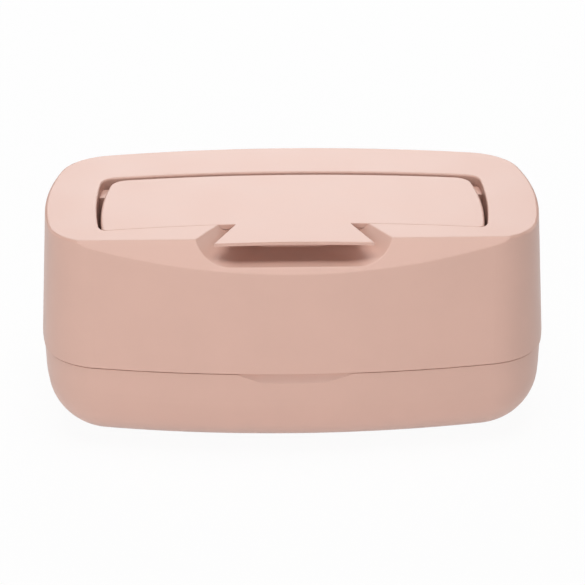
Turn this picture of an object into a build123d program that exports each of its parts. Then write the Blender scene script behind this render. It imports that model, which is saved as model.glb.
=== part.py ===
from build123d import *
import math
import os

os.makedirs("parts", exist_ok=True)

# A baby wipes box, in millimetres. The origin is on the surface that it stands on, under its
# middle. +X is along the box, -Y is the front with the finger scoop, +Z is up.

# The closed box
width = 235.0             # across the cover's rim, its widest place
depth = 137.0             # front to back across the cover's rim
height = 101.0            # from the surface it stands on to the flat top
seam_z = 42.0             # lower edge of the cover
corner_radius = 30.7      # corners of the plan at the rim
long_curve = 446.3        # radius that the front and back follow, less their corners
short_bow = 3.2           # how far the two ends bow out
foot_stand = 1.0          # how far the feet lift the tub

# Clearances
body_gap = 0.3            # between pieces that move apart
seam_gap = 0.5            # between the tub's rim and the cover's
fit_gap = 0.1             # between pieces that are fitted together
pin_fit = 0.02            # round a pin where it is held
running_fit = 0.08        # round a pin where something turns on it

# Cover shell
cover_wall = 2.4
cover_draft = 4.0         # degrees from upright
top_edge_round = 1.4      # round the outside of the top
crease_round = 0.9        # round the facet and the window
lip_round = 1.2           # round the scoop's lip and sides
rim_edge_round = 0.4      # round the cover's lower edge
facet_setback = 11.17     # front facet: where it leaves the top, behind the top's front edge
facet_angle = 45.0

# Window in the cover's top, where the flap lies
frame_side = 27.7         # from the cover's rim to the window, at the ends
frame_back = 38.2         # the same at the middle of the back
frame_front = 32.9        # the same at the middle of the front
window_wide_y = 3.0       # where it is widest
window_back_taper = 0.8   # how much narrower each side is at the back corners
window_front_taper = 4.0  # how much narrower each side is at the front corners
window_bow = 7.0          # how far the middles of both edges lie behind their ends
window_back_radius = 8.0
window_front_radius = 4.0
curtain_wall = 2.0        # wall that hangs round the window
ledge_width = 2.0         # front ledge that the flap's edge rests over

# Finger scoop in the front of the cover, worked out from two of its cross-sections
scoop_land = 0.7          # from the window's front edge to its back wall
scoop_length = 26.5       # from its back wall to its lip on the facet
scoop_back_half = 33.4    # half width at the top, at the back wall
scoop_lip_half = 48.6     # half width at the top, above the lip
scoop_lip_depth = 9.5     # below the top, at the lip
scoop_floor_slope = 3.0   # the floor falls towards the back, in degrees
scoop_side_slope = 51.0   # its sides, in degrees from level
scoop_side_round = 30.0
scoop_skin = 2.2

# Flap
flap_thickness = 2.2
flap_side_gap = 2.8       # at its ends, where it is widest
flap_wide_y = -13.0       # where it is widest
flap_back_taper = 3.1     # how much narrower each side is at the back corners
flap_front_taper = 2.2    # how much narrower each side is at the front corners
flap_back_gap = 3.5
flap_back_bow = 6.4
flap_corner_radius = 9.0
flap_front_radius = 3.5
flap_edge_round = 1.0
trim_room = 0.3           # room at the ends and the back when its front edge is trimmed
skirt_depth = 7.0         # from the top of the flap to the skirt's lower edge
skirt_wall = 1.8
skirt_setback = 3.0       # skirt behind the flap's front edge
tab_root_half = 25.7
tab_tip_half = 35.0
tab_reach = 21.9          # how far the tab stands ahead of the flap's front edge
tab_bow = 1.4             # how far the middle of its front edge lies behind its corners
tab_thinning = 0.8        # how much thinner it is at its front edge
tab_thin_run = 5.0        # over how far it thins
tab_edge_round = 0.3

# Hinge
hinge_setback = 16.8      # pin axis ahead of the window's back edge
hinge_drop = 7.5          # pin axis below the top
pin_radius = 1.5
pin_seat = 2.6            # length of pin in the block
ear_radius = 4.6
ear_thickness = 5.0
ear_inset = 3.9           # ear inside the flap's widest place
bush_wall = 1.3
block_gap = 3.1           # between ear and block
block_ahead = 4.5         # block ahead of the pin axis
block_behind = 6.0        # block behind the pin axis
block_above_pin = 3.2

# Deck: floor of the flap's pocket
deck_thickness = 2.0
swing_clearance = 0.6     # under the flap's back edge as it swings
deck_flange = 1.0         # how far the deck's floor goes out under the curtain wall

# Collar round the opening where the wipes come out
mouth_behind = 10.0       # from the pin axis forward to the mouth's back edge
mouth_ahead = 10.1        # from the window's front edge back to the mouth's front edge
mouth_margin = 20.8       # from the mouth's end to the window
collar_wall = 2.0
collar_lip_round = 0.8

# Inner panel and seal of the flap
liner_wall = 1.6
liner_overhang = 2.6      # liner past the collar's outside
seal_wall = 3.2
seal_height = 2.4
seal_seat = 0.8

# Tub
tub_wall = 2.4
tub_floor = 2.4
tub_setback = 0.65        # tub's rim inside the cover's rim
tub_draft = 1.0
tub_round = 27.5          # rounding round the bottom
tongue_play = 1.0         # between the tongue and the cover's wall
tongue_height = 4.6
tongue_wall = 2.2
tongue_root = 4.0         # how far the tongue goes down inside the wall
rim_seal_height = 2.0
rim_seal_above = 1.6      # from the tub's rim up to the seal
rim_seal_depth = 1.1      # how far it sits in the tongue
thumb_half_width = 30.0   # the recess fades out here
thumb_flat_half = 15.0    # it is level this far from the middle
thumb_depth = 2.8
thumb_height = 4.6
thumb_round = 24.0        # where its ends slope away

# Feet
foot_length = 26.0
foot_width = 9.0
foot_seat = 1.0
foot_margin_x = 51.5      # from a foot's middle to the end of the box
foot_margin_y = 41.5      # from a foot's middle to the front or back of the box

# Press plate, which lies on the wipes
plate_margin_x = 65.0     # how much shorter it is than the box
plate_margin_y = 65.0     # how much narrower it is than the box
plate_corner = 14.0
plate_wall = 2.0
plate_base_height = 6.0
plate_cover_height = 5.5
plate_edge_round = 2.5
slot_margin = 49.0        # from the slot's end to the plate's end
slot_width = 28.0
weight_margin = 24.5      # from a bar's middle to the plate's end
weight_length = 34.0
weight_width = 50.0
weight_height = 6.0
weight_edge = 1.0
rib_wall = 1.2
rib_height = 2.5

# Worked out from the sizes above
core_x = width / 2 - short_bow - corner_radius
long_bow = long_curve - math.sqrt(long_curve ** 2 - core_x ** 2)
core_y = depth / 2 - long_bow - corner_radius
window_half = width / 2 - frame_side
window_back_half = window_half - window_back_taper
window_front_half = window_half - window_front_taper
window_back = depth / 2 - frame_back
window_front = depth / 2 - frame_front
cover_lean = math.tan(math.radians(cover_draft))
facet_start = depth / 2 - (height - seam_z) * cover_lean - facet_setback
scoop_back = window_front + scoop_land
scoop_lip = scoop_back + scoop_length
ledge_z = height - flap_thickness - body_gap
hinge_y = window_back - hinge_setback
hinge_z = height - hinge_drop
facet_dir = (0, -math.sin(math.radians(facet_angle)), math.cos(math.radians(facet_angle)))
facet_plane = Plane(origin=(0, -facet_start, height), x_dir=(1, 0, 0), z_dir=facet_dir)
flap_back = window_back - flap_back_gap
flap_front = window_front - body_gap
flap_half = window_half - flap_side_gap
flap_back_half = flap_half - flap_back_taper
flap_front_half = flap_half - flap_front_taper
flap_front_bow = window_bow * (flap_front_half / window_front_half) ** 2
window_run = window_front + window_bow + window_wide_y
flap_run = flap_front + flap_front_bow + flap_wide_y
swing_radius = math.hypot(flap_back - hinge_y, hinge_drop)
deck_top = hinge_z - swing_radius - swing_clearance
deck_bottom = deck_top - deck_thickness
ear_outer = flap_half - ear_inset
ear_inner = ear_outer - ear_thickness
block_inner = ear_outer + block_gap
flap_under = height - flap_thickness
block_y = hinge_y + (block_behind - block_ahead) / 2
block_depth = block_ahead + block_behind
mouth_half_length = window_half - mouth_margin
mouth_back = hinge_y - mouth_behind
mouth_front = mouth_ahead - window_front
mouth_y = (mouth_back + mouth_front) / 2
mouth_half_width = (mouth_back - mouth_front) / 2
tab_front = flap_front + tab_reach
tab_root = flap_front + window_bow * (tab_root_half / window_front_half) ** 2
liner_bottom = height - skirt_depth
seal_bottom = liner_bottom - seal_height
collar_top = seal_bottom - body_gap
tub_bottom = foot_stand
tub_rim = seam_z - seam_gap
tub_lean = math.tan(math.radians(tub_draft))
floor_top = tub_bottom + tub_floor
tongue_inset = cover_wall + tongue_play
rim_seal_z = tub_rim + rim_seal_above
rim_seal_top = rim_seal_z + rim_seal_height
rim_seal_inset = cover_wall + (rim_seal_top - seam_z) * cover_lean + body_gap
foot_x = width / 2 - foot_margin_x
foot_y = depth / 2 - foot_margin_y
plate_length = width - plate_margin_x
plate_width = depth - plate_margin_y
weight_x = plate_length / 2 - weight_margin
slot_length = plate_length - 2 * slot_margin
plate_bottom = floor_top + body_gap
plate_seam = plate_bottom + plate_base_height


def box_plan(inset):
    """Plan of the box, drawn in from the cover's rim by inset."""
    with BuildSketch() as plan:
        with BuildLine():
            ThreePointArc((-core_x, -core_y), (0, -core_y - long_bow), (core_x, -core_y))
            ThreePointArc((core_x, -core_y), (core_x + short_bow, 0), (core_x, core_y))
            ThreePointArc((core_x, core_y), (0, core_y + long_bow), (-core_x, core_y))
            ThreePointArc((-core_x, core_y), (-core_x - short_bow, 0), (-core_x, -core_y))
        make_face()
        offset(amount=corner_radius - inset)
    return plan.sketch


def band_plan(half, wide_y, back, back_half, back_bow, back_radius,
              front, front_half, front_bow, front_radius):
    """Plan of the window or the flap: a band that curves back at its middle."""
    back_y = back - back_bow
    front_y = -front - front_bow
    with BuildSketch() as plan:
        with BuildLine():
            ThreePointArc((-back_half, back_y), (0, back), (back_half, back_y))
            ThreePointArc((front_half, front_y), (0, -front), (-front_half, front_y))
            for side in (-1, 1):
                TangentArc((side * half, wide_y), (side * back_half, back_y), tangent=(0, 1))
                TangentArc((side * half, wide_y), (side * front_half, front_y), tangent=(0, -1))
        make_face()
        fillet(plan.vertices().group_by(Axis.Y)[-1], back_radius)
        fillet(plan.vertices().group_by(Axis.Y)[0], front_radius)
    return plan.sketch


def half_at(half, taper, run, setback):
    """Half width at a front edge that is set back, on the side arc that tapers so much over run."""
    radius = (taper ** 2 + run ** 2) / (2 * taper)
    return half - radius + math.sqrt(radius ** 2 - (run - setback) ** 2)


def window_plan(front_setback=0.0, corner_setback=0.0, grow=0.0):
    """Plan of the window, or of the pocket under it, set back at the front and its corners."""
    front_half = half_at(window_half, window_front_taper, window_run, front_setback)
    return band_plan(window_half + grow, window_wide_y,
                     window_back + grow, window_back_half + grow,
                     window_bow, window_back_radius + grow,
                     window_front - front_setback + grow, front_half - corner_setback + grow,
                     window_bow, window_front_radius + grow)


def flap_plan(front_setback=0.0, corner_setback=0.0, inset=0.0):
    """Plan of the flap without its tab, set back at the front or drawn in all round."""
    front_half = half_at(flap_half, flap_front_taper, flap_run, front_setback)
    return band_plan(flap_half - inset, flap_wide_y,
                     flap_back - inset, flap_back_half - inset,
                     flap_back_bow, flap_corner_radius - inset,
                     flap_front - front_setback - inset, front_half - corner_setback - inset,
                     flap_front_bow, flap_front_radius - inset)


def mouth_plan(grow):
    """Plan of the opening that the collar stands round, grown by grow."""
    with BuildSketch() as plan:
        with Locations((0, mouth_y)):
            SlotOverall(2 * (mouth_half_length + grow), 2 * (mouth_half_width + grow))
    return plan.sketch


def ring_plan(outside, inside):
    """Plan of a ring between two plans."""
    with BuildSketch() as plan:
        add(outside)
        add(inside, mode=Mode.SUBTRACT)
    return plan.sketch


def scoop_section(y, grow):
    """Cross-section of the finger scoop at a distance y ahead of the middle, grown by grow."""
    share = (y - scoop_back) / (scoop_lip - scoop_back)
    half_top = scoop_back_half + share * (scoop_lip_half - scoop_back_half)
    deep = scoop_lip_depth + (scoop_lip - y) * math.tan(math.radians(scoop_floor_slope))
    above = scoop_side_round
    run = 1 / math.tan(math.radians(scoop_side_slope))
    half_floor = half_top - deep * run
    half_above = half_top + above * run
    with BuildSketch(Plane.XZ.offset(y)) as section:
        with BuildLine():
            Polyline((-half_above, height + above), (-half_floor, height - deep),
                     (half_floor, height - deep), (half_above, height + above), close=True)
        make_face()
        fillet(section.vertices().group_by(Axis.Y)[0], scoop_side_round)
        if grow:
            offset(amount=grow)
    return section.sketch


def is_facet_edge(edge):
    """Whether an edge of the cover lies on its facet."""
    points = [edge @ share for share in (0, 0.5, 1)]
    return all(abs(facet_plane.to_local_coords(point).Z) < 0.01 for point in points)


def is_lip_edge(edge):
    """Whether an edge of the cover runs round the two sides and the lip of the finger scoop."""
    points = [edge @ share for share in (0, 0.5, 1)]
    in_reach = all(abs(point.X) < scoop_lip_half and point.Y < 0.01 - scoop_back for point in points)
    at_back = [point for point in points if abs(point.Y + scoop_back) < 0.01]
    return in_reach and len(at_back) < 3 and all(point.Z > height - 0.01 for point in at_back)


def is_window_edge(edge):
    """Whether an edge of the cover lies on its top, round the window."""
    points = [edge @ share for share in (0, 0.5, 1)]
    on_top = all(point.Z > height - 0.01 for point in points)
    in_reach = all(abs(point.X) < window_half + 0.01 for point in points)
    in_reach = in_reach and all(abs(point.Y) < scoop_back + window_bow for point in points)
    on_scoop = all(abs(point.Y + scoop_back) < 0.01 for point in points)
    return on_top and in_reach and not on_scoop


# Space of the finger scoop, and the same space grown by its skin
with BuildPart() as scoop_space:
    add(scoop_section(scoop_back, 0))
    add(scoop_section(scoop_lip + scoop_side_round, 0))
    loft(ruled=True)

with BuildPart() as scoop_bulge:
    add(scoop_section(scoop_back - scoop_skin, scoop_skin))
    add(scoop_section(scoop_lip + scoop_side_round, scoop_skin))
    loft(ruled=True)

# Window and pocket: wide above the ledge, set back at the front below it
with BuildPart() as window_space:
    with BuildSketch(Plane.XY.offset(ledge_z)):
        add(window_plan())
        with Locations((0, -scoop_back)):
            Rectangle(2 * tab_tip_half, 2 * ledge_width, align=(Align.CENTER, Align.MIN))
    extrude(amount=height)
    with BuildSketch(Plane.XY.offset(ledge_z)):
        add(window_plan(ledge_width, ledge_width))
    extrude(amount=-(ledge_z - deck_top))

with BuildPart() as curtain_block:
    with BuildSketch(Plane.XY.offset(deck_top)):
        add(window_plan(ledge_width, ledge_width, curtain_wall))
    extrude(amount=height - deck_top)

# Inside of the cover, less the curtain wall and the skin of the scoop
with BuildPart() as cover_space:
    with BuildSketch(Plane.XY.offset(seam_z)):
        add(box_plan(cover_wall))
    extrude(amount=height - cover_wall - seam_z, taper=cover_draft)
    split(bisect_by=facet_plane.offset(-cover_wall), keep=Keep.BOTTOM)
    add(curtain_block.part, mode=Mode.SUBTRACT)
    add(scoop_bulge.part, mode=Mode.SUBTRACT)

# Cover. Its outer top edge is rounded first, then the facet is cut and its one smooth edge
# rounded, and then the scoop is cut and its lip rounded. The window is cut twice: a short one,
# whose edges are rounded, and then the whole one, which leaves its front edge crisp where the
# flap meets it.
with BuildPart() as cover:
    with BuildSketch(Plane.XY.offset(seam_z)):
        add(box_plan(0))
    extrude(amount=height - seam_z, taper=cover_draft)
    fillet(cover.faces().sort_by(Axis.Z)[-1].edges(), top_edge_round)
    split(bisect_by=facet_plane, keep=Keep.BOTTOM)
    fillet([edge for edge in cover.edges() if is_facet_edge(edge)], crease_round)
    add(scoop_space.part, mode=Mode.SUBTRACT)
    fillet([edge for edge in cover.edges() if is_lip_edge(edge)], lip_round)
    with BuildSketch(Plane.XY.offset(height)):
        add(window_plan(ledge_width))
    extrude(amount=deck_top - height, mode=Mode.SUBTRACT)
    fillet([edge for edge in cover.edges() if is_window_edge(edge)], crease_round)
    fillet(cover.faces().sort_by(Axis.Z)[0].edges(), rim_edge_round)
    add(window_space.part, mode=Mode.SUBTRACT)
    add(cover_space.part, mode=Mode.SUBTRACT)

cover.part.label = "cover"
export_step(cover.part, "parts/cover.step")

# Deck, with the collar and the two hinge blocks
with BuildPart() as deck:
    with BuildSketch(Plane.XY.offset(deck_bottom)):
        add(window_plan(ledge_width, ledge_width, curtain_wall + deck_flange))
    extrude(amount=deck_thickness)
    with BuildSketch(Plane.XY.offset(deck_bottom)):
        add(mouth_plan(collar_wall))
    extrude(amount=collar_top - deck_bottom)
    with BuildSketch(Plane.XY.offset(deck_bottom)):
        add(mouth_plan(0))
    extrude(amount=collar_top - deck_bottom, mode=Mode.SUBTRACT)
    fillet(deck.faces().sort_by(Axis.Z)[-1].edges(), collar_lip_round)
    with BuildSketch(Plane.XY.offset(deck_top)):
        add(window_plan(ledge_width, ledge_width, -fit_gap))
        with Locations((0, block_y)):
            Rectangle(width, block_depth, mode=Mode.INTERSECT)
            Rectangle(2 * block_inner, block_depth, mode=Mode.SUBTRACT)
    extrude(amount=hinge_z + block_above_pin - deck_top)
    with BuildSketch(Plane.YZ.offset(-block_inner - pin_seat)):
        with Locations((hinge_y, hinge_z)):
            Circle(pin_radius + pin_fit)
    extrude(amount=2 * (block_inner + pin_seat), mode=Mode.SUBTRACT)

deck.part.label = "deck"
export_step(deck.part, "parts/deck.step")

# Flap, with its tab, skirt and ears. Its ends and back are rounded, its front edge is crisp.
with BuildPart() as flap:
    with BuildSketch(Plane.XY.offset(flap_under)):
        add(flap_plan(-skirt_setback))
    extrude(amount=flap_thickness)
    fillet(flap.faces().sort_by(Axis.Z)[-1].edges(), flap_edge_round)
    with BuildSketch(Plane.XY.offset(flap_under)):
        add(flap_plan(trim_room, 0, -trim_room))
    extrude(amount=flap_thickness, mode=Mode.INTERSECT)
    with BuildSketch(Plane.XY.offset(flap_under)):
        with BuildLine():
            ThreePointArc((-tab_tip_half, -tab_front - tab_bow), (0, -tab_front),
                          (tab_tip_half, -tab_front - tab_bow))
            Polyline((tab_tip_half, -tab_front - tab_bow), (tab_root_half, -tab_root),
                     (tab_root_half, 0), (-tab_root_half, 0), (-tab_root_half, -tab_root),
                     (-tab_tip_half, -tab_front - tab_bow))
        make_face()
    extrude(amount=flap_thickness)
    tab_face = flap.faces().sort_by(Axis.Y)[0]
    chamfer(tab_face.edges().sort_by(Axis.Z)[0], tab_thinning, tab_thin_run, reference=tab_face)
    tab_edges = flap.faces().sort_by(Axis.Z)[-1].edges()
    fillet(tab_edges.filter_by_position(Axis.Y, -tab_front - tab_bow, -tab_root - tab_bow), tab_edge_round)
    with BuildSketch(Plane.XY.offset(liner_bottom)):
        add(ring_plan(flap_plan(skirt_setback, skirt_setback),
                      flap_plan(skirt_setback, skirt_setback, skirt_wall)))
    extrude(amount=flap_under - liner_bottom)
    for side in (-1, 1):
        with BuildSketch(Plane.YZ.offset(side * (ear_inner + ear_outer) / 2)):
            with Locations((hinge_y, hinge_z)):
                Circle(ear_radius)
            with Locations((hinge_y, (hinge_z + flap_under) / 2)):
                Rectangle(2 * ear_radius, flap_under - hinge_z)
        extrude(amount=ear_thickness / 2, both=True)
    for side in (-1, 1):
        with BuildSketch(Plane.YZ.offset(side * ear_inner)):
            with Locations((hinge_y, hinge_z)):
                Circle(pin_radius + bush_wall + fit_gap)
        extrude(amount=side * (flap_half - ear_inner), mode=Mode.SUBTRACT)

flap.part.label = "flap"
export_step(flap.part, "parts/flap.step")

# Hinge pins and the sleeves that turn on them
for side, word in ((-1, "left"), (1, "right")):
    with BuildPart() as hinge_pin:
        with BuildSketch(Plane.YZ.offset(side * ear_inner)):
            with Locations((hinge_y, hinge_z)):
                Circle(pin_radius)
        extrude(amount=side * (block_inner + pin_seat - ear_inner))
    hinge_pin.part.label = "hinge_pin_" + word
    export_step(hinge_pin.part, "parts/hinge_pin_" + word + ".step")

    with BuildPart() as hinge_bush:
        with BuildSketch(Plane.YZ.offset(side * ear_inner)):
            with Locations((hinge_y, hinge_z)):
                Circle(pin_radius + bush_wall)
                Circle(pin_radius + running_fit, mode=Mode.SUBTRACT)
        extrude(amount=side * ear_thickness)
    hinge_bush.part.label = "hinge_bush_" + word
    export_step(hinge_bush.part, "parts/hinge_bush_" + word + ".step")

# Inner panel of the flap, with a groove for the seal
seal_outside = (collar_wall + seal_wall) / 2
seal_inside = (collar_wall - seal_wall) / 2
liner_grow = collar_wall + liner_overhang

with BuildPart() as flap_liner:
    with BuildSketch(Plane.XY.offset(liner_bottom)):
        add(mouth_plan(liner_grow))
    extrude(amount=flap_under - liner_bottom)
    with BuildSketch(Plane.XY.offset(liner_bottom + liner_wall)):
        add(mouth_plan(liner_grow - liner_wall))
    extrude(amount=flap_under - liner_bottom, mode=Mode.SUBTRACT)
    with BuildSketch(Plane.XY.offset(liner_bottom)):
        add(ring_plan(mouth_plan(seal_outside + fit_gap), mouth_plan(seal_inside - fit_gap)))
    extrude(amount=seal_seat, mode=Mode.SUBTRACT)

flap_liner.part.label = "flap_liner"
export_step(flap_liner.part, "parts/flap_liner.step")

with BuildPart() as flap_seal:
    with BuildSketch(Plane.XY.offset(seal_bottom)):
        add(ring_plan(mouth_plan(seal_outside), mouth_plan(seal_inside)))
    extrude(amount=seal_height + seal_seat)
    fillet(flap_seal.faces().sort_by(Axis.Z)[0].edges(), seal_wall / 4)

flap_seal.part.label = "flap_seal"
export_step(flap_seal.part, "parts/flap_seal.step")

# Tub, with its tongue, the groove for the rim seal, the thumb recess and the feet's seats
with BuildPart() as tub_space:
    with BuildSketch(Plane.XY.offset(floor_top)):
        add(box_plan(tub_setback + tub_wall + (tub_rim - floor_top) * tub_lean))
    extrude(amount=tub_rim - floor_top, taper=-tub_draft)
    fillet(tub_space.faces().sort_by(Axis.Z)[0].edges(), tub_round - tub_wall)

foot_spots = [(x * foot_x, y * foot_y) for x in (-1, 1) for y in (-1, 1)]
thumb_mouth = tub_setback - depth / 2

with BuildPart() as tub:
    with BuildSketch(Plane.XY.offset(tub_bottom)):
        add(box_plan(tub_setback + (tub_rim - tub_bottom) * tub_lean))
    extrude(amount=tub_rim - tub_bottom, taper=-tub_draft)
    fillet(tub.faces().sort_by(Axis.Z)[0].edges(), tub_round)
    add(tub_space.part, mode=Mode.SUBTRACT)
    with BuildSketch(Plane.XY.offset(tub_rim - tongue_root)):
        add(ring_plan(box_plan(tub_setback + tub_wall / 2), box_plan(tongue_inset + tongue_wall)))
    extrude(amount=tongue_root)
    with BuildSketch(Plane.XY.offset(tub_rim)):
        add(ring_plan(box_plan(tongue_inset), box_plan(tongue_inset + tongue_wall)))
    extrude(amount=tongue_height)
    with BuildSketch(Plane.XY.offset(rim_seal_z)):
        add(ring_plan(box_plan(tongue_inset - fit_gap), box_plan(tongue_inset + rim_seal_depth)))
    extrude(amount=rim_seal_height, mode=Mode.SUBTRACT)
    with BuildSketch(Plane.XY.offset(tub_rim)):
        with BuildLine():
            Polyline((thumb_half_width, thumb_mouth), (thumb_flat_half, thumb_mouth + thumb_depth),
                     (-thumb_flat_half, thumb_mouth + thumb_depth), (-thumb_half_width, thumb_mouth),
                     (0, thumb_mouth - thumb_half_width), close=True)
        thumb_face = make_face()
        fillet(thumb_face.vertices().group_by(Axis.Y)[-1], thumb_round)
    extrude(amount=-thumb_height, taper=math.degrees(math.atan(thumb_depth / thumb_height)),
            mode=Mode.SUBTRACT)
    with BuildSketch(Plane.XY.offset(tub_bottom)):
        with Locations(*foot_spots):
            SlotOverall(foot_length + 2 * fit_gap, foot_width + 2 * fit_gap)
    extrude(amount=foot_seat, mode=Mode.SUBTRACT)

tub.part.label = "tub"
export_step(tub.part, "parts/tub.step")

with BuildPart() as rim_seal:
    with BuildSketch(Plane.XY.offset(rim_seal_z)):
        add(ring_plan(box_plan(rim_seal_inset), box_plan(tongue_inset + rim_seal_depth)))
    extrude(amount=rim_seal_height)

rim_seal.part.label = "rim_seal"
export_step(rim_seal.part, "parts/rim_seal.step")

for spot in foot_spots:
    place = ("back_" if spot[1] > 0 else "front_") + ("right" if spot[0] > 0 else "left")
    with BuildPart() as foot:
        with BuildSketch():
            with Locations(spot):
                SlotOverall(foot_length, foot_width)
        extrude(amount=foot_stand + foot_seat)
        chamfer(foot.faces().sort_by(Axis.Z)[0].edges(), foot_stand / 2)
    foot.part.label = "foot_" + place
    export_step(foot.part, "parts/foot_" + place + ".step")

# Press plate: two halves, and the bars that lie in them
with BuildPart() as plate_base:
    with BuildSketch(Plane.XY.offset(plate_bottom)):
        RectangleRounded(plate_length, plate_width, plate_corner)
    extrude(amount=plate_base_height)
    fillet(plate_base.faces().sort_by(Axis.Z)[0].edges(), plate_edge_round)
    with BuildSketch(Plane.XY.offset(plate_bottom + plate_wall)):
        RectangleRounded(plate_length - 2 * plate_wall, plate_width - 2 * plate_wall,
                         plate_corner - plate_wall)
        SlotOverall(slot_length + 2 * plate_wall, slot_width + 2 * plate_wall, mode=Mode.SUBTRACT)
    extrude(amount=plate_base_height, mode=Mode.SUBTRACT)
    with BuildSketch(Plane.XY.offset(plate_bottom + plate_wall)):
        with Locations((-weight_x, 0), (weight_x, 0)):
            Rectangle(weight_length + 2 * (fit_gap + rib_wall), weight_width + 2 * (fit_gap + rib_wall))
            Rectangle(weight_length + 2 * fit_gap, weight_width + 2 * fit_gap, mode=Mode.SUBTRACT)
    extrude(amount=rib_height)
    with BuildSketch(Plane.XY.offset(plate_bottom)):
        SlotOverall(slot_length, slot_width)
    extrude(amount=plate_base_height, mode=Mode.SUBTRACT)

plate_base.part.label = "plate_base"
export_step(plate_base.part, "parts/plate_base.step")

with BuildPart() as plate_cover:
    with BuildSketch(Plane.XY.offset(plate_seam)):
        RectangleRounded(plate_length, plate_width, plate_corner)
        SlotOverall(slot_length, slot_width, mode=Mode.SUBTRACT)
    extrude(amount=plate_cover_height)
    fillet(plate_cover.faces().sort_by(Axis.Z)[-1].edges(), plate_edge_round)
    with BuildSketch(Plane.XY.offset(plate_seam)):
        RectangleRounded(plate_length - 2 * plate_wall, plate_width - 2 * plate_wall,
                         plate_corner - plate_wall)
        SlotOverall(slot_length + 2 * plate_wall, slot_width + 2 * plate_wall, mode=Mode.SUBTRACT)
    extrude(amount=plate_cover_height - plate_wall, mode=Mode.SUBTRACT)

plate_cover.part.label = "plate_cover"
export_step(plate_cover.part, "parts/plate_cover.step")

for side, word in ((-1, "left"), (1, "right")):
    with BuildPart() as plate_weight:
        with BuildSketch(Plane.XY.offset(plate_bottom + plate_wall)):
            with Locations((side * weight_x, 0)):
                Rectangle(weight_length, weight_width)
        extrude(amount=weight_height)
        chamfer(plate_weight.faces().sort_by(Axis.Z)[-1].edges(), weight_edge)
    plate_weight.part.label = "plate_weight_" + word
    export_step(plate_weight.part, "parts/plate_weight_" + word + ".step")

print("deck floor", round(deck_bottom, 2), round(deck_top, 2), "collar top", round(collar_top, 2))
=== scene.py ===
# %% [markdown]
# # A box for baby wipes
# The box is pink plastic with a soft, fine sheen. It has a tub, a deep cover that sits on it, and a
# flap let into the cover's top. Most shapes come ready made from the CAD model. This script gives
# them their finishes, makes the soft seals and the soft feet, and sets up the light and the camera.
# Lengths are in metres unless a name says otherwise.

# %% Load the model
import math

import bpy
import numpy as np
from mathutils import Matrix, Vector


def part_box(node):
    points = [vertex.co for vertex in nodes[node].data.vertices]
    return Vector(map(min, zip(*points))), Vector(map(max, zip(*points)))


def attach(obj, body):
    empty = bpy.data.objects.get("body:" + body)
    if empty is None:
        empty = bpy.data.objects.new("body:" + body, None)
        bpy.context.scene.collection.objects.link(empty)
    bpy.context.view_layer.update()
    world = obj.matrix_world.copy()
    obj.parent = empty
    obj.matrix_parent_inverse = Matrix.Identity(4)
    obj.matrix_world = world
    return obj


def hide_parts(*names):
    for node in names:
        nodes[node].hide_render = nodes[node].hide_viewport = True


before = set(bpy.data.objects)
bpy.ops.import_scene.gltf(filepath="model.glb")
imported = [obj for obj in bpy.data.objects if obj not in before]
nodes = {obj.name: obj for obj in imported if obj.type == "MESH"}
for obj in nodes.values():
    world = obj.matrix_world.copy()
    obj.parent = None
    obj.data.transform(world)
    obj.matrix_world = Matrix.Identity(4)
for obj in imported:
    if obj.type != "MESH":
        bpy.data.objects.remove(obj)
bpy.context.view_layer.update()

scene = bpy.context.scene

# %% [markdown]
# ## The camera
# A long lens from almost a metre away, a little above the box, looks nearly straight at its front.
# The distance, the angles and the focal length were found by matching the box's outline, its seam
# and the front edge of its top. A camera looks along its own -Z, so its +Z points back at it.

# %% Camera
FRAME_PX = 585  # width of the picture
FOCAL_PX = 1897.25  # focal length in the same pixels
SENSOR_MM = 36.0
CAMERA_DISTANCE = 0.9
CAMERA_ELEVATION = math.radians(24.12)
CAMERA_AZIMUTH = math.radians(-1.08)
CAMERA_ROLL = math.radians(-0.15)
CAMERA_TARGET = Vector((0.00029, 0, 0.05123))


def place_camera():
    """Camera on a sphere round its target: back = (sin a cos e, -cos a cos e, sin e)."""
    azimuth, elevation = CAMERA_AZIMUTH, CAMERA_ELEVATION
    back = Vector((math.sin(azimuth) * math.cos(elevation),
                   -math.cos(azimuth) * math.cos(elevation), math.sin(elevation)))
    right = (-back).cross(Vector((0, 0, 1))).normalized()
    up = right.cross(-back)
    turned_right = math.cos(CAMERA_ROLL) * right + math.sin(CAMERA_ROLL) * up
    turned_up = math.cos(CAMERA_ROLL) * up - math.sin(CAMERA_ROLL) * right
    data = bpy.data.cameras.new("camera")
    data.sensor_fit = "HORIZONTAL"
    data.sensor_width = SENSOR_MM
    data.lens = FOCAL_PX / FRAME_PX * SENSOR_MM
    camera = bpy.data.objects.new("camera", data)
    turn = Matrix((turned_right, turned_up, back)).transposed().to_4x4()
    camera.matrix_world = Matrix.Translation(CAMERA_TARGET + back * CAMERA_DISTANCE) @ turn
    scene.collection.objects.link(camera)
    scene.camera = camera
    return camera


camera = place_camera()
print("lens in mm", round(camera.data.lens, 1))

# %% [markdown]
# ## Helpers for finishes
# Colours are easier to think of as screen values from 0 to 255, but a shader works in linear light,
# so each colour is changed by the usual screen curve first. Every finish is a small tree of nodes
# that ends in the Principled shader, so a new material, a new node and a new link are short calls.

# %% Helpers for finishes
SCREEN_CURVE = 2.4
SCREEN_OFFSET = 0.055
PINK = (215, 174, 159)


def linear(red, green, blue):
    """Screen values from 0 to 255 as linear light: ((v + 0.055) / 1.055) to the power 2.4."""
    screen = np.array((red, green, blue)) / 255
    light = ((screen + SCREEN_OFFSET) / (1 + SCREEN_OFFSET)) ** SCREEN_CURVE
    return (*light.tolist(), 1.0)


def new_material(name):
    """A new material, its node tree and the shader in it."""
    material = bpy.data.materials.new(name)
    material.use_nodes = True
    return material, material.node_tree, material.node_tree.nodes["Principled BSDF"]


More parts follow.
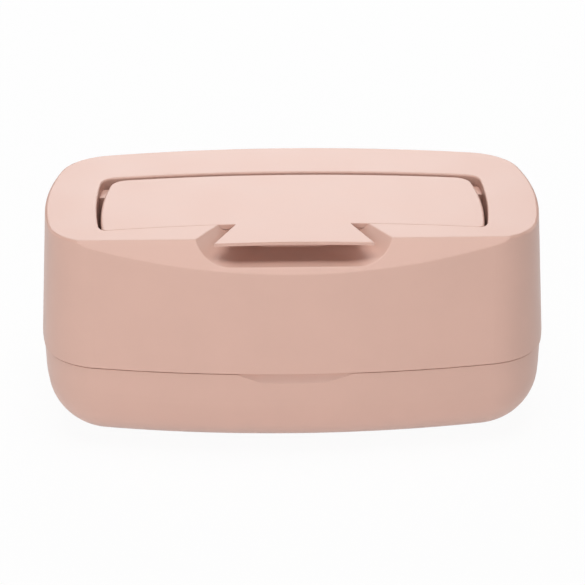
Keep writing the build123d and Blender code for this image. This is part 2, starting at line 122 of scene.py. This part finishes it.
def set_inputs(node, values):
    """Set some of a node's inputs, by name or by number."""
    for key, value in values.items():
        node.inputs[key].default_value = value


def add_node(tree, kind, values=None):
    """A new shader node of a kind, with some of its inputs set."""
    node = tree.nodes.new("ShaderNode" + kind)
    set_inputs(node, values or {})
    return node


def link(tree, giver, output, taker, entry):
    """Link one node's output to another node's input."""
    tree.links.new(giver.outputs[output], taker.inputs[entry])


print("pink in linear light", [round(part, 3) for part in linear(*PINK)])

# %% [markdown]
# ## The pink plastic
# The mould that makes these shells is finely blasted, so the plastic has no mirror gloss: a soft
# sheen, and under a lens a skin of tiny dimples. A noise of under a millimetre drives a faint bump
# for the dimples. A slower noise, about as wide as a finger, shifts the roughness and the colour a
# little, because plastic flows and cools unevenly in its mould. A painted texture could do the same,
# but noises that read the object's own coordinates need no unwrapping and stay put as it moves.

# %% Moulded plastic
SLOW_SCALE = 40  # patches per metre
SLOW_DETAIL = 3
COLOUR_DRIFT = 0.04  # share by which the colour gets darker and paler
ROUGHNESS_DRIFT = 0.05
PLASTIC_IOR = 1.5
PLASTIC_SPECULAR = 0.65
DIMPLE_SIZE = 0.0006
DIMPLE_DEPTH = 0.00001
DIMPLE_DETAIL = 2
DIMPLE_STRENGTH = 0.35


def moulded_plastic(name, colour, roughness, dimple_size=DIMPLE_SIZE):
    """Blasted plastic: a slow noise shifts roughness and colour, a fine noise makes the dimples."""
    material, tree, shader = new_material(name)
    set_inputs(shader, {"IOR": PLASTIC_IOR, "Specular IOR Level": PLASTIC_SPECULAR})
    place = add_node(tree, "TexCoord")

    slow = add_node(tree, "TexNoise", {"Scale": SLOW_SCALE, "Detail": SLOW_DETAIL})
    spread = add_node(tree, "MapRange", {"To Min": roughness - ROUGHNESS_DRIFT,
                                         "To Max": roughness + ROUGHNESS_DRIFT})
    tint = add_node(tree, "ValToRGB")
    for stop, drift in zip(tint.color_ramp.elements, (1 - COLOUR_DRIFT, 1 + COLOUR_DRIFT)):
        stop.color = (*(drift * part for part in linear(*colour)[:3]), 1)
    link(tree, place, "Object", slow, "Vector")
    link(tree, slow, "Fac", spread, "Value")
    link(tree, spread, "Result", shader, "Roughness")
    link(tree, slow, "Fac", tint, "Fac")
    link(tree, tint, "Color", shader, "Base Color")

    dimples = add_node(tree, "TexNoise", {"Scale": 1 / dimple_size, "Detail": DIMPLE_DETAIL})
    bump = add_node(tree, "Bump", {"Strength": DIMPLE_STRENGTH, "Distance": DIMPLE_DEPTH})
    link(tree, place, "Object", dimples, "Vector")
    link(tree, dimples, "Fac", bump, "Height")
    link(tree, bump, "Normal", shader, "Normal")
    return material


shell_finish = moulded_plastic("pink_shell", PINK, roughness=0.42)
inner_finish = moulded_plastic("pink_inner", PINK, roughness=0.5)
print("plastic finishes", shell_finish.name, inner_finish.name)

# %% [markdown]
# ## Silicone, rubber and nylon
# The seals are silicone, which is paler, softer and lets a little light in. The feet are a duller
# rubber, and the bushes are plain nylon. Each could be a shader tree of its own, but all three are
# moulded like the shells, so they start from the same plastic. The soft ones have coarser dimples
# and add a little light that scatters under the skin.

# %% Silicone, rubber and nylon
SOFT_DIMPLE_SIZE = 0.0012
SOFT_LIGHT_REACH = 0.002


def soft_rubber(name, colour, roughness, light_inside):
    """Soft rubber or silicone: a wide sheen, and some light that scatters under the skin."""
    material = moulded_plastic(name, colour, roughness, dimple_size=SOFT_DIMPLE_SIZE)
    shader = material.node_tree.nodes["Principled BSDF"]
    set_inputs(shader, {"Subsurface Weight": light_inside, "Subsurface Scale": SOFT_LIGHT_REACH})
    return material


seal_finish = soft_rubber("seal_silicone", (232, 212, 202), roughness=0.4, light_inside=0.3)
foot_finish = soft_rubber("foot_rubber", (196, 166, 156), roughness=0.6, light_inside=0.05)
nylon_finish = moulded_plastic("natural_nylon", (228, 224, 212), roughness=0.4)
print("moulded finishes", seal_finish.name, foot_finish.name, nylon_finish.name)

# %% [markdown]
# ## Steel
# The pins are drawn wire and the weights are cut from bar, so their fine lines run along X. Bump
# could draw the lines as grooves, but they are far too shallow to feel. A noise that is stretched
# along X and moves only the roughness makes the metal shine unevenly along them, as the real one does.

# %% Steel
LINE_SCALE = (60, 3000, 3000)  # patches per metre along X, Y and Z
LINE_SMOOTHER = 0.1
LINE_ROUGHER = 0.15


def drawn_steel(name, colour, roughness):
    """Steel with drawing lines: a noise that is stretched along X shifts the roughness."""
    material, tree, shader = new_material(name)
    set_inputs(shader, {"Base Color": linear(*colour), "Metallic": 1})
    place = add_node(tree, "TexCoord")
    stretch = add_node(tree, "Mapping", {"Scale": LINE_SCALE})
    lines = add_node(tree, "TexNoise", {"Scale": 1})
    spread = add_node(tree, "MapRange", {"To Min": roughness - LINE_SMOOTHER,
                                         "To Max": roughness + LINE_ROUGHER})
    link(tree, place, "Object", stretch, "Vector")
    link(tree, stretch, "Vector", lines, "Vector")
    link(tree, lines, "Fac", spread, "Value")
    link(tree, spread, "Result", shader, "Roughness")
    return material


pin_finish = drawn_steel("pin_steel", (190, 190, 193), roughness=0.3)
weight_finish = drawn_steel("weight_steel", (150, 150, 154), roughness=0.4)
print("steel finishes", pin_finish.name, weight_finish.name)

# %% [markdown]
# ## Which piece wears what
# The tub, the cover, its deck and the flap come from one mould shop and share one finish. The inner
# panel and the press plate have a slightly duller one. The CAD pieces keep their shapes and only
# change their material. The seals and the feet get theirs with their new surfaces, further down.

# %% Give each piece its finish
WEARS = (
    (shell_finish, ("tub", "cover", "deck", "flap")),
    (inner_finish, ("flap_liner", "plate_base", "plate_cover")),
    (nylon_finish, ("hinge_bush_left", "hinge_bush_right")),
    (pin_finish, ("hinge_pin_left", "hinge_pin_right")),
    (weight_finish, ("plate_weight_left", "plate_weight_right")),
)
for finish, names in WEARS:
    for name in names:
        nodes[name].data.materials.clear()
        nodes[name].data.materials.append(finish)
    print(finish.name, "on", ", ".join(names))

# %% [markdown]
# ## Soft surfaces
# The seals and the feet are soft, so they get surfaces of their own in place of the CAD model's
# plain solids. Each could be modelled by hand from a bevelled ring, but a section that is carried
# along a closed path says exactly what it is, and numpy works it out in a few whole arrays. Each
# surface fills its node's box, so its place and its size are read from the model.

# %% Measure a node
def middle_and_halves(node):
    """Middle of a node's box and half its sides, in metres."""
    low, high = (np.array(corner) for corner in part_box(node))
    return (low + high) / 2, (high - low) / 2


_, cover_half = middle_and_halves("cover")
_, foot_half = middle_and_halves("foot_front_left")
print("cover, mm", (2000 * cover_half).round(1).tolist())
print("foot, mm", (2000 * foot_half).round(1).tolist())

# %% [markdown]
# Two paths are enough. A rectangle with round corners serves for the flap's seal, for the feet and
# for the seals' own sections. The rim seal follows the box's plan, whose four sides are bowed.

# %% A rectangle with round corners
QUARTER = math.pi / 2


def rounded_rectangle(half_x, half_y, radius, count):
    """Even points round a rectangle with round corners, and the way out at each point.

    A point is a corner's centre plus the radius times the way out. The centre slides along the
    straight sides, and the way out turns only at the corners.
    """
    flat_x, flat_y, turn = half_x - radius, half_y - radius, QUARTER * radius
    lengths = [2 * flat_x, turn, 2 * flat_y, turn, 2 * flat_x, turn, 2 * flat_y, turn]
    ends = np.concatenate(([0], np.cumsum(lengths)))
    along = np.linspace(0, ends[-1], count, endpoint=False)
    centre_x = np.interp(along, ends, flat_x * np.array([-1, 1, 1, 1, 1, -1, -1, -1, -1]))
    centre_y = np.interp(along, ends, flat_y * np.array([-1, -1, -1, 1, 1, 1, 1, -1, -1]))
    angle = np.interp(along, ends, QUARTER * np.array([-1, -1, 0, 0, 1, 1, 2, 2, 3]))
    outward = np.stack((np.cos(angle), np.sin(angle)), axis=1)
    return np.stack((centre_x, centre_y), axis=1) + radius * outward, outward


foot_points, _ = rounded_rectangle(foot_half[0], foot_half[1], foot_half[1], 4)
print("four points round a foot's middle, mm", (1000 * foot_points).round(1).tolist())

# %% The box's plan
BOX_CORNER = 0.0307  # radius of the plan's corners
BOX_CURVE = 0.4463  # radius of its long sides
BOX_SHORT_BOW = 0.0032  # how far its short sides bow out


def bowed_box(half_x, half_y, corner, count):
    """Points round the box's plan, one for each way out, and the ways out.

    Less its corner radius, the plan is a core with four bowed sides. A point is the core's
    furthest point that way, plus the corner radius times the way out.
    """
    core_x = half_x - BOX_SHORT_BOW - corner
    long_bow = BOX_CURVE - math.sqrt(BOX_CURVE ** 2 - core_x ** 2)
    core_y = half_y - long_bow - corner
    short_curve = (core_y ** 2 + BOX_SHORT_BOW ** 2) / (2 * BOX_SHORT_BOW)
    angle = np.linspace(0, 4 * QUARTER, count, endpoint=False)
    outward = np.stack((np.cos(angle), np.sin(angle)), axis=1)
    cosine, sine = outward.T
    bulge_x = np.maximum(short_curve * np.abs(cosine) - (short_curve - BOX_SHORT_BOW), 0)
    bulge_y = np.maximum(BOX_CURVE * np.abs(sine) - (BOX_CURVE - long_bow), 0)
    x = np.clip(BOX_CURVE * cosine, -core_x, core_x) + np.sign(cosine) * bulge_x
    y = np.clip(short_curve * sine, -core_y, core_y) + np.sign(sine) * bulge_y
    return np.stack((x, y), axis=1) + corner * outward, outward


cover_ends, _ = bowed_box(cover_half[0], cover_half[1], BOX_CORNER, 4)
print("four ends of the cover's plan, mm", (1000 * cover_ends).round(1).tolist())

# %% [markdown]
# A section has two numbers for each of its points: how far out from the path, and how high. It runs
# anticlockwise, and so does the path seen from above, and then every face points outwards. The
# section of a seal is closed. That of a foot is open, and two flat caps close it.

# %% Carry a section along a path
SHARP_ANGLE = math.radians(40)


def carried_surface(name, path, outward, section, capped=False):
    """Surface whose point (i, j) is path point j, plus section point i: so far out, and so high."""
    rows, columns = len(section), len(path)
    across = path[None] + section[:, None, :1] * outward[None]
    height = np.broadcast_to(section[:, None, 1:], (rows, columns, 1))
    points = np.concatenate((across, height), axis=2).reshape(-1, 3)
    row = np.arange(rows - 1 if capped else rows)[:, None]
    column = np.arange(columns)[None]
    next_row, next_column = (row + 1) % rows, (column + 1) % columns
    corners = (row * columns + column, row * columns + next_column,
               next_row * columns + next_column, next_row * columns + column)
    faces = np.stack(corners, axis=2).reshape(-1, 4).tolist()
    if capped:
        faces.append(list(range(columns - 1, -1, -1)))
        faces.append(list(range((rows - 1) * columns, rows * columns)))
    mesh = bpy.data.meshes.new(name)
    mesh.from_pydata(points, [], faces)
    mesh.validate()
    mesh.shade_smooth()
    mesh.set_sharp_from_angle(angle=SHARP_ANGLE)
    piece = bpy.data.objects.new(name, mesh)
    scene.collection.objects.link(piece)
    return piece


print("edges sharper than", round(math.degrees(SHARP_ANGLE)), "degrees stay crisp")

# %% Put a surface in a node's place
def stand_in(piece, node, body, finish):
    """Show the piece in place of a CAD node, moving with its body and wearing its finish."""
    piece.data.materials.append(finish)
    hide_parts(node)
    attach(piece, body)


print("soft finishes to give", seal_finish.name, foot_finish.name)

# %% [markdown]
# ## The flap's seal
# A silicone ring closes on the collar round the opening and keeps the wipes moist. Its upper edge
# is held in a groove of the flap's inner panel. Below that it has a waist, which lets it give, and
# its lower face is hollowed along the middle, so that two soft lips are left to press on the collar.
# The section could be drawn point by point. Here it is a rounded rectangle that two smooth bumps
# push in, so one number sets the depth of each.

# %% Flap seal
SEAL_WALL = 0.0032
SEAL_CORNER = 0.0008
SEAL_WAIST = 0.00035  # how far each side is drawn in
SEAL_WAIST_ABOVE = 0.0001  # the waist's height over the seal's middle
SEAL_WAIST_REACH = 0.0005
SEAL_HOLLOW = 0.0006  # how deep the lower face is hollowed
SEAL_HOLLOW_REACH = 0.0006
SEAL_PATH_POINTS = 420
SEAL_SECTION_POINTS = 72


def bump_of(distance, reach):
    """A smooth bump: 1 at no distance, and e to the minus the square of distance over reach."""
    return np.exp(-(distance / reach) ** 2)


def flap_seal_surface():
    """A rounded section with a waist and a hollow lower face, carried round a slot.

    The waist draws both sides in by a bump of the height. The hollow lifts the lower half by a
    bump of the distance from the middle, which fades out towards mid height.
    """
    middle, half = middle_and_halves("flap_seal")
    path, outward = rounded_rectangle(half[0], half[1], half[1], SEAL_PATH_POINTS)
    section, _ = rounded_rectangle(SEAL_WALL / 2, half[2], SEAL_CORNER, SEAL_SECTION_POINTS)
    out, up = section.T
    out = out - np.sign(out) * SEAL_WAIST * bump_of(up - SEAL_WAIST_ABOVE, SEAL_WAIST_REACH)
    below = np.clip(-up / half[2], 0, 1)
    up = up + below * SEAL_HOLLOW * bump_of(out, SEAL_HOLLOW_REACH)
    section = np.stack((out - SEAL_WALL / 2, up + middle[2]), axis=1)
    return carried_surface("flap_seal_ring", path + middle[:2], outward, section)


flap_seal = flap_seal_surface()
stand_in(flap_seal, "flap_seal", "flap", seal_finish)
print("flap seal faces", len(flap_seal.data.polygons))

# %% [markdown]
# ## The rim seal
# The tub's upright tongue carries a second ring, which presses on the inside of the cover. Its back
# lies in a groove, and its outer face has two fine ribs. Two small rings beside each other could
# stand for the ribs, but the real ring is one piece, so a wave of the height shapes its face.

# %% Rim seal
RIM_WALL = 0.00158  # from the groove's floor to the ribs
RIM_CORNER = 0.0003
RIM_RIB_DEPTH = 0.0003
RIM_RIBS = 2
RIM_PATH_POINTS = 720
RIM_SECTION_POINTS = 64


def rim_seal_surface():
    """A rounded section whose outer face waves in ribs, carried round the box's plan.

    The outer face is drawn in by a rib's depth times (1 + cosine of the height) / 2, where the
    cosine has one full turn for each rib.
    """
    middle, half = middle_and_halves("rim_seal")
    corner = BOX_CORNER - (cover_half[0] - half[0])
    path, outward = bowed_box(half[0], half[1], corner, RIM_PATH_POINTS)
    section, _ = rounded_rectangle(RIM_WALL / 2, half[2], RIM_CORNER, RIM_SECTION_POINTS)
    out, up = section.T
    valley = (1 + np.cos(2 * math.pi * RIM_RIBS * (up + half[2]) / (2 * half[2]))) / 2
    out = out - np.where(out > 0, RIM_RIB_DEPTH * valley, 0)
    section = np.stack((out - RIM_WALL / 2, up + middle[2]), axis=1)
    return carried_surface("rim_seal_ring", path + middle[:2], outward, section)


rim_seal = rim_seal_surface()
stand_in(rim_seal, "rim_seal", "tub", seal_finish)
print("rim seal faces", len(rim_seal.data.polygons))

# %% [markdown]
# ## The feet
# Four soft pads lift the box a little and keep it from sliding. Each is pressed into a shallow seat.
# Its rim is rounded, and two shallow grooves run round its underside for grip. A bevelled block
# would give the rim but not the grooves. The section gives both, and one function makes all four.

# %% Feet
FOOT_ROUND = 0.0006  # radius of the lower rim
FOOT_CAP_INSET = 0.0031  # from the pad's side to its flat caps
FOOT_GROOVE_DEPTH = 0.0002
FOOT_GROOVES = 2
FOOT_PATH_POINTS = 120
FOOT_UNDER_POINTS = 25
FOOT_RIM_POINTS = 9
FEET = ("foot_front_left", "foot_front_right", "foot_back_left", "foot_back_right")


def foot_surface(node):
    """A foot's open section, from its underside round its rim to its top, carried round a slot.

    The underside waves by the groove's depth times (1 - cosine) / 2, one full turn for each
    groove, and the rim is a quarter of a circle.
    """
    middle, half = middle_and_halves(node)
    path, outward = rounded_rectangle(half[0], half[1], half[1], FOOT_PATH_POINTS)
    under = np.linspace(-FOOT_CAP_INSET, -FOOT_ROUND, FOOT_UNDER_POINTS)
    share = (under + FOOT_CAP_INSET) / (FOOT_CAP_INSET - FOOT_ROUND)
    groove = FOOT_GROOVE_DEPTH * (1 - np.cos(2 * math.pi * FOOT_GROOVES * share)) / 2
    turn = np.linspace(0, QUARTER, FOOT_RIM_POINTS)[1:]
    rim = np.stack((FOOT_ROUND * (np.sin(turn) - 1), FOOT_ROUND * (1 - np.cos(turn))), axis=1)
    top = [[0, 2 * half[2]], [-FOOT_CAP_INSET, 2 * half[2]]]
    section = np.concatenate((np.stack((under, groove), axis=1), rim, top))
    section[:, 1] += middle[2] - half[2]
    return carried_surface(node + "_pad", path + middle[:2], outward, section, capped=True)


for node in FEET:
    stand_in(foot_surface(node), node, "tub", foot_finish)
print("feet", len(FEET))

# %% [markdown]
# ## Floor
# The box stands on a white floor that is also the background. White comes from the floor's own
# colour: what the camera and mirrors see of it is mixed with plain white, and the rest still takes
# the box's soft shadow. More light would whiten the floor too, but it would bleach the box.

# %% Floor
FLOOR_SIZE = 12.0
FLOOR_WHITE_SHARE = 0.94
FLOOR_PAINT = (0.85, 0.85, 0.85, 1)


def math_node(tree, operation):
    """A node that does one operation on two numbers."""
    node = add_node(tree, "Math")
    node.operation = operation
    return node


def white_floor_material():
    """Matte paint, mixed with a share of white light on camera, glossy and transmission rays."""
    material, tree, paint = new_material("white_floor")
    set_inputs(paint, {"Base Color": FLOOR_PAINT, "Roughness": 1, "Specular IOR Level": 0})
    glow = add_node(tree, "Emission")
    ray = add_node(tree, "LightPath")
    seen = math_node(tree, "MAXIMUM")
    seen_too = math_node(tree, "MAXIMUM")
    share = math_node(tree, "MULTIPLY")
    set_inputs(share, {1: FLOOR_WHITE_SHARE})
    mix = add_node(tree, "MixShader")
    link(tree, ray, "Is Camera Ray", seen, 0)
    link(tree, ray, "Is Glossy Ray", seen, 1)
    link(tree, seen, "Value", seen_too, 0)
    link(tree, ray, "Is Transmission Ray", seen_too, 1)
    link(tree, seen_too, "Value", share, 0)
    link(tree, share, "Value", mix, 0)
    link(tree, paint, "BSDF", mix, 1)
    link(tree, glow, "Emission", mix, 2)
    link(tree, mix, "Shader", tree.nodes["Material Output"], "Surface")
    return material


def white_floor():
    """One square face on the surface that the feet stand on."""
    half = FLOOR_SIZE / 2
    mesh = bpy.data.meshes.new("floor")
    mesh.from_pydata([(-half, -half, 0), (half, -half, 0), (half, half, 0), (-half, half, 0)],
                     [], [(0, 1, 2, 3)])
    mesh.materials.append(white_floor_material())
    floor = bpy.data.objects.new("floor", mesh)
    scene.collection.objects.link(floor)


white_floor()
print("floor, metres across", FLOOR_SIZE)

# %% [markdown]
# ## Light
# Six softboxes light the box. The strongest hangs overhead and a little ahead, so that the top is
# paler than the front and the light reaches the lip of the finger scoop. One stands in front and one
# to its left, so that the right side falls off a little. One behind gives the top its pale haze, and
# two weak ones behind the ends keep the box pink from the sides and the back. The surround adds
# almost nothing, because an even light from all round would fill the shade under the tab.

# %% Lamps
LAMP_AIM = Vector((0, 0, 0.05))
SOFTBOXES = (
    # name, place, width and height in metres, power in watts
    ("overhead", (0, -0.15, 1.5), 1.2, 0.9, 14.4),
    ("front", (0, -1.4, 0.5), 0.9, 0.7, 8.1),
    ("back", (0, 1.3, 0.75), 0.9, 0.9, 8.0),
    ("back_right", (1.15, 0.75, 0.45), 0.7, 0.7, 3.0),
    ("back_left", (-1.15, 0.75, 0.45), 0.7, 0.7, 2.2),
    ("front_left", (-1.05, -1.05, 0.5), 0.9, 0.9, 4.6),
)


def softbox(name, place, wide, tall, power):
    """An area lamp at place, so many metres wide and tall, that faces the box's middle."""
    data = bpy.data.lights.new(name, "AREA")
    data.shape = "RECTANGLE"
    data.size = wide
    data.size_y = tall
    data.energy = power
    lamp = bpy.data.objects.new(name, data)
    lamp.location = place
    lamp.rotation_euler = (LAMP_AIM - Vector(place)).to_track_quat("-Z", "Y").to_euler()
    scene.collection.objects.link(lamp)


for facts in SOFTBOXES:
    softbox(*facts)

# %% Surround
WHITE = (1, 1, 1, 1)
SURROUND_STRENGTH = 0.02


def studio_world():
    """A plain pale surround: it lights the box very weakly, and is white where it is seen."""
    world = bpy.data.worlds.new("surround")
    world.use_nodes = True
    tree = world.node_tree
    around = tree.nodes["Background"]
    set_inputs(around, {"Color": WHITE, "Strength": SURROUND_STRENGTH})
    seen = add_node(tree, "Background", {"Color": WHITE})
    ray = add_node(tree, "LightPath")
    mix = add_node(tree, "MixShader")
    link(tree, ray, "Is Camera Ray", mix, 0)
    link(tree, around, "Background", mix, 1)
    link(tree, seen, "Background", mix, 2)
    link(tree, mix, "Shader", tree.nodes["World Output"], "Surface")
    scene.world = world


studio_world()
scene.view_settings.view_transform = "Standard"
print("view transform", scene.view_settings.view_transform)
